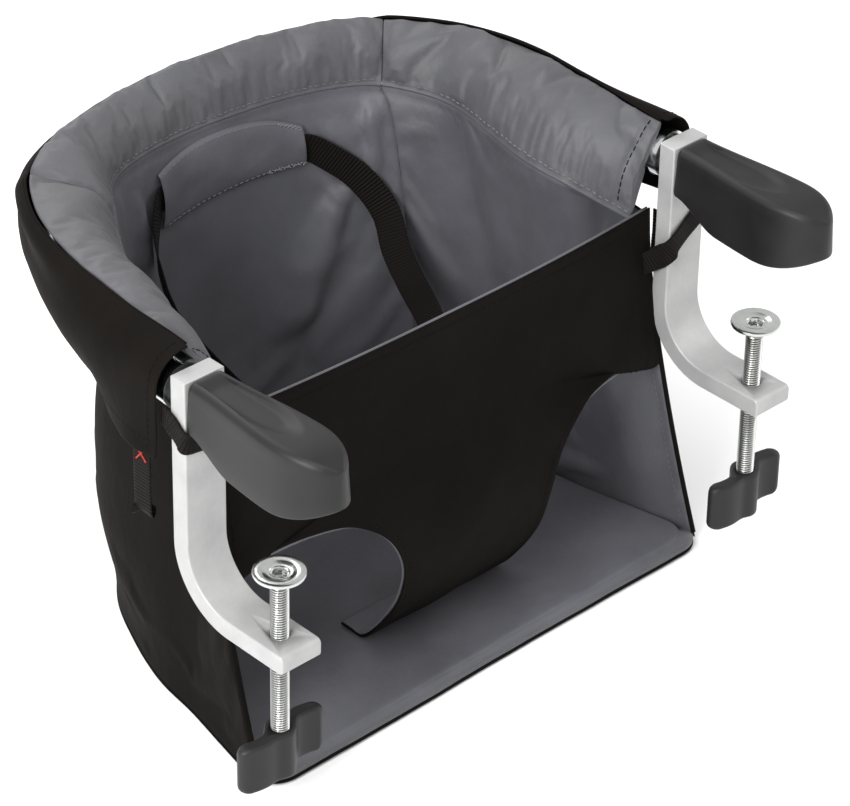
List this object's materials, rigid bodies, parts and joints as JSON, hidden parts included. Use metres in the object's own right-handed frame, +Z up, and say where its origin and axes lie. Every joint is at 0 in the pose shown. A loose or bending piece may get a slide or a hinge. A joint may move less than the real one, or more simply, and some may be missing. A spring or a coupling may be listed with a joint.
{
  "type": "hook on table chair",
  "caption": "Fabric baby seat that hangs from a table edge on two C-shaped aluminium clamp arms with screw clamps, wing knobs and padded rim.",
  "frame": {"origin": "bottom centre of the bounding box, under the fabric base", "axes": "+X to the right clamp, -Y toward the table that it clamps, +Z up"},
  "size_m": [0.4036, 0.38, 0.2564],
  "materials": {
    "bar": "matte",
    "arm_pad": "soft satin",
    "zinc": "bright zinc plated",
    "knob": "fine grain",
    "tube": "bright drawn",
    "plastic": "satin",
    "spring": "spring steel",
    "black_cloth": "plain weave",
    "grey_cloth": "plain weave",
    "webbing": "ribbed webbing",
    "board": "raw hardboard",
    "thread": "sewn thread"
  },
  "bodies": {
    "seat": {"frame_tube": "tube", "base_cover": "black_cloth", "seat_board": "board", "seat_pad": "grey_cloth", "front_binding": "black_cloth", "front_panel": "black_cloth", "front_lining": "grey_cloth", "belt_tunnel": "grey_cloth", "left_belt": "webbing", "right_belt": "webbing", "buckle_socket": "plastic", "left_pivot_bush": "plastic", "left_arm_strap": "webbing", "left_pull_tab": "webbing", "left_tab_stitch": "thread", "right_pivot_bush": "plastic", "right_arm_strap": "webbing", "right_pull_tab": "webbing", "right_tab_stitch": "thread", "right_collar": "grey_cloth", "right_cuff": "black_cloth", "right_outer_wall": "black_cloth", "right_liner": "grey_cloth", "back_collar": "grey_cloth", "back_cuff": "black_cloth", "back_outer_wall": "black_cloth", "back_liner": "grey_cloth", "left_collar": "grey_cloth", "left_cuff": "black_cloth", "left_outer_wall": "black_cloth", "left_liner": "grey_cloth"},
    "left_clamp": {"left_clamp_bar": "bar", "left_arm_pad": "arm_pad", "left_pivot_spigot": "tube", "left_pivot_bolt": "zinc", "left_button_spring": "spring"},
    "left_screw": {"left_clamp_screw": "zinc"},
    "left_knob": {"left_wing_knob": "knob"},
    "left_button": {"left_lock_button": "plastic"},
    "right_clamp": {"right_clamp_bar": "bar", "right_arm_pad": "arm_pad", "right_pivot_spigot": "tube", "right_pivot_bolt": "zinc", "right_button_spring": "spring"},
    "right_screw": {"right_clamp_screw": "zinc"},
    "right_knob": {"right_wing_knob": "knob"},
    "right_button": {"right_lock_button": "plastic"},
    "tongue": {"buckle_tongue": "plastic"}
  },
  "joints": [
    {"name": "left_fold", "type": "hinge", "parent": "seat", "child": "left_clamp", "pos_m": [-0.175, -0.07217, 0.2335], "axis": [0, 1, 0], "range_deg": [-90, 0], "deforming": ["left_arm_strap"]},
    {"name": "left_knob_turn", "type": "hinge", "parent": "left_screw", "child": "left_knob", "pos_m": [-0.175, -0.13867, 0.0595], "axis": [0, 0, 1], "range_deg": [-4320, 10800]},
    {"name": "left_screw_travel", "type": "slide", "parent": "left_clamp", "child": "left_screw", "axis": [0, 0, 1], "range_m": [-0.018, 0.045]},
    {"name": "left_button_press", "type": "slide", "parent": "left_clamp", "child": "left_button", "axis": [0, 0, 1], "range_m": [0, 0.005], "stiffness_N_per_m": 400, "springref_m": -0.003, "deforming": ["left_button_spring"]},
    {"name": "right_fold", "type": "hinge", "parent": "seat", "child": "right_clamp", "pos_m": [0.175, -0.07217, 0.2335], "axis": [0, 1, 0], "range_deg": [0, 90], "deforming": ["right_arm_strap"]},
    {"name": "right_knob_turn", "type": "hinge", "parent": "right_screw", "child": "right_knob", "pos_m": [0.175, -0.13867, 0.0595], "axis": [0, 0, 1], "range_deg": [-4320, 10800]},
    {"name": "right_screw_travel", "type": "slide", "parent": "right_clamp", "child": "right_screw", "axis": [0, 0, 1], "range_m": [-0.018, 0.045]},
    {"name": "right_button_press", "type": "slide", "parent": "right_clamp", "child": "right_button", "axis": [0, 0, 1], "range_m": [0, 0.005], "stiffness_N_per_m": 400, "springref_m": -0.003, "deforming": ["right_button_spring"]},
    {"name": "tongue_pull", "type": "slide", "parent": "seat", "child": "tongue", "axis": [-1, 0, 0], "range_m": [0, 0.028], "deforming": ["left_belt"]}
  ],
  "couplings": [
    {"joint": "left_knob_turn", "follows": "left_screw_travel", "rad_per_m": 4188.8},
    {"joint": "right_knob_turn", "follows": "right_screw_travel", "rad_per_m": 4188.8}
  ]
}
